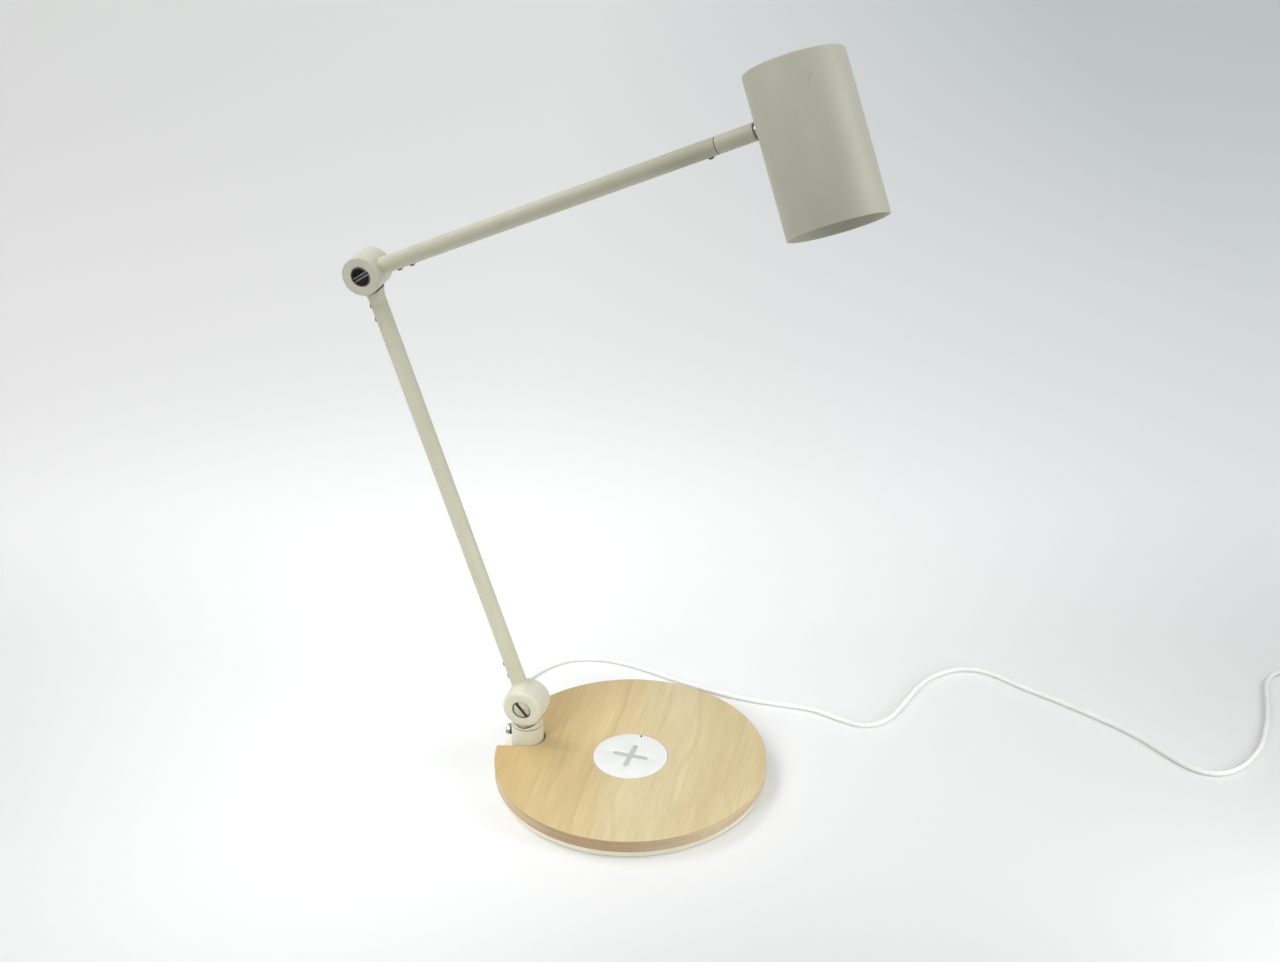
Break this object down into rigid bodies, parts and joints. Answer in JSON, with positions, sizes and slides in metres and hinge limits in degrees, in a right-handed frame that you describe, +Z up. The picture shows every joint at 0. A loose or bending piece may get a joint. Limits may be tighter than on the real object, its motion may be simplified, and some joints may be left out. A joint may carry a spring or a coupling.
{
  "type": "adjustable desk lamp",
  "caption": "Adjustable desk lamp: round wooden base with a flush charging pad, swivelling post, two slim hinged arms and a plain cylindrical shade with an open mouth.",
  "frame": {"origin": "centre of the round base on the table, on the underside of the foot sheet", "axes": "+Z up; +X from the post towards the base's centre, which is the way the upper arm reaches at rest; +Y to the back, away from the bolt heads"},
  "size_m": [0.8128, 0.442, 0.5506],
  "materials": {
    "rubber_foot": "matt moulded",
    "base_paint": "satin powder coat",
    "veneer": "clear satin lacquer",
    "steel": "plain zinc",
    "white_plastic": "smooth",
    "inner_plastic": "fine grain",
    "circuit_board": "solder mask",
    "ferrite": "sintered",
    "copper": "enamelled wire",
    "grey_mark": "soft grey insert",
    "dark_lens": "polished",
    "cream_paint": "satin powder coat",
    "bright_metal": "polished",
    "dark_chrome": "polished, dark",
    "nylon": "smooth",
    "lead_cover": "soft jacket",
    "carrier_metal": "die cast",
    "light_board": "white solder mask",
    "light_chip": "phosphor dome",
    "reflector_white": "smooth",
    "frosted": "frosted",
    "adapter_shell": "fine grain"
  },
  "bodies": {
    "base": {"base_sole": "rubber_foot", "base_plate": "base_paint", "wood_disc": "veneer", "base_screws": "steel", "charger_housing": "inner_plastic", "charger_board": "circuit_board", "charger_ferrite": "ferrite", "charger_coil": "copper", "charger_screws": "steel", "charger_cover": "white_plastic", "charger_cross": "grey_mark", "charge_light": "dark_lens", "post_socket": "cream_paint", "socket_screws": "steel", "lock_screw": "bright_metal", "swivel_washer": "nylon", "cord_grommet": "lead_cover", "base_lead": "lead_cover", "supply_cord": "lead_cover", "cord_coil": "lead_cover", "adapter_relief": "lead_cover", "power_adapter": "adapter_shell", "adapter_pins": "steel"},
    "swivel": {"post_saddle": "cream_paint"},
    "lower_arm": {"shoulder_barrel": "cream_paint", "shoulder_bolt": "bright_metal", "shoulder_nut": "steel", "shoulder_washers": "nylon", "lower_tube": "cream_paint", "lower_tube_screws": "steel", "lower_lead": "lead_cover", "elbow_saddle": "cream_paint"},
    "upper_arm": {"elbow_barrel": "cream_paint", "elbow_bolt": "dark_chrome", "elbow_nut": "steel", "elbow_washers": "nylon", "upper_tube": "cream_paint", "upper_tube_screws": "steel", "head_lock_screw": "steel", "upper_lead": "lead_cover"},
    "head": {"head_bushing": "cream_paint", "head_neck": "bright_metal", "neck_nut": "steel", "shade": "cream_paint", "led_carrier": "carrier_metal", "led_board": "light_board", "led_chips": "light_chip", "led_screws": "steel", "reflector": "reflector_white", "diffuser": "frosted", "retaining_ring": "inner_plastic", "switch_board": "circuit_board", "push_switch": "dark_lens", "switch_screws": "steel"},
    "button": {"power_button": "white_plastic"}
  },
  "joints": [
    {"name": "base_swivel", "type": "hinge", "parent": "base", "child": "swivel", "pos_m": [-0.0793, 0, 0.0282], "axis": [0, 0, 1], "range_deg": [-140, 140]},
    {"name": "shoulder_hinge", "type": "hinge", "parent": "swivel", "child": "lower_arm", "pos_m": [-0.0793, 0, 0.0456], "axis": [0, 1, 0], "range_deg": [-32, 34]},
    {"name": "elbow_hinge", "type": "hinge", "parent": "lower_arm", "child": "upper_arm", "pos_m": [-0.18127, 0, 0.371], "axis": [0, 1, 0], "range_deg": [-72, 8]},
    {"name": "head_swivel", "type": "hinge", "parent": "upper_arm", "child": "head", "pos_m": [0.11421, 0, 0.50753], "axis": [0.9078, 0, 0.4195], "range_deg": [-118.5, 161.5]},
    {"name": "power_button_press", "type": "slide", "parent": "head", "child": "button", "axis": [0.3903, -0.3665, -0.8446], "range_m": [0, 0.0015], "stiffness_N_per_m": 1000, "springref_m": -0.0005}
  ]
}
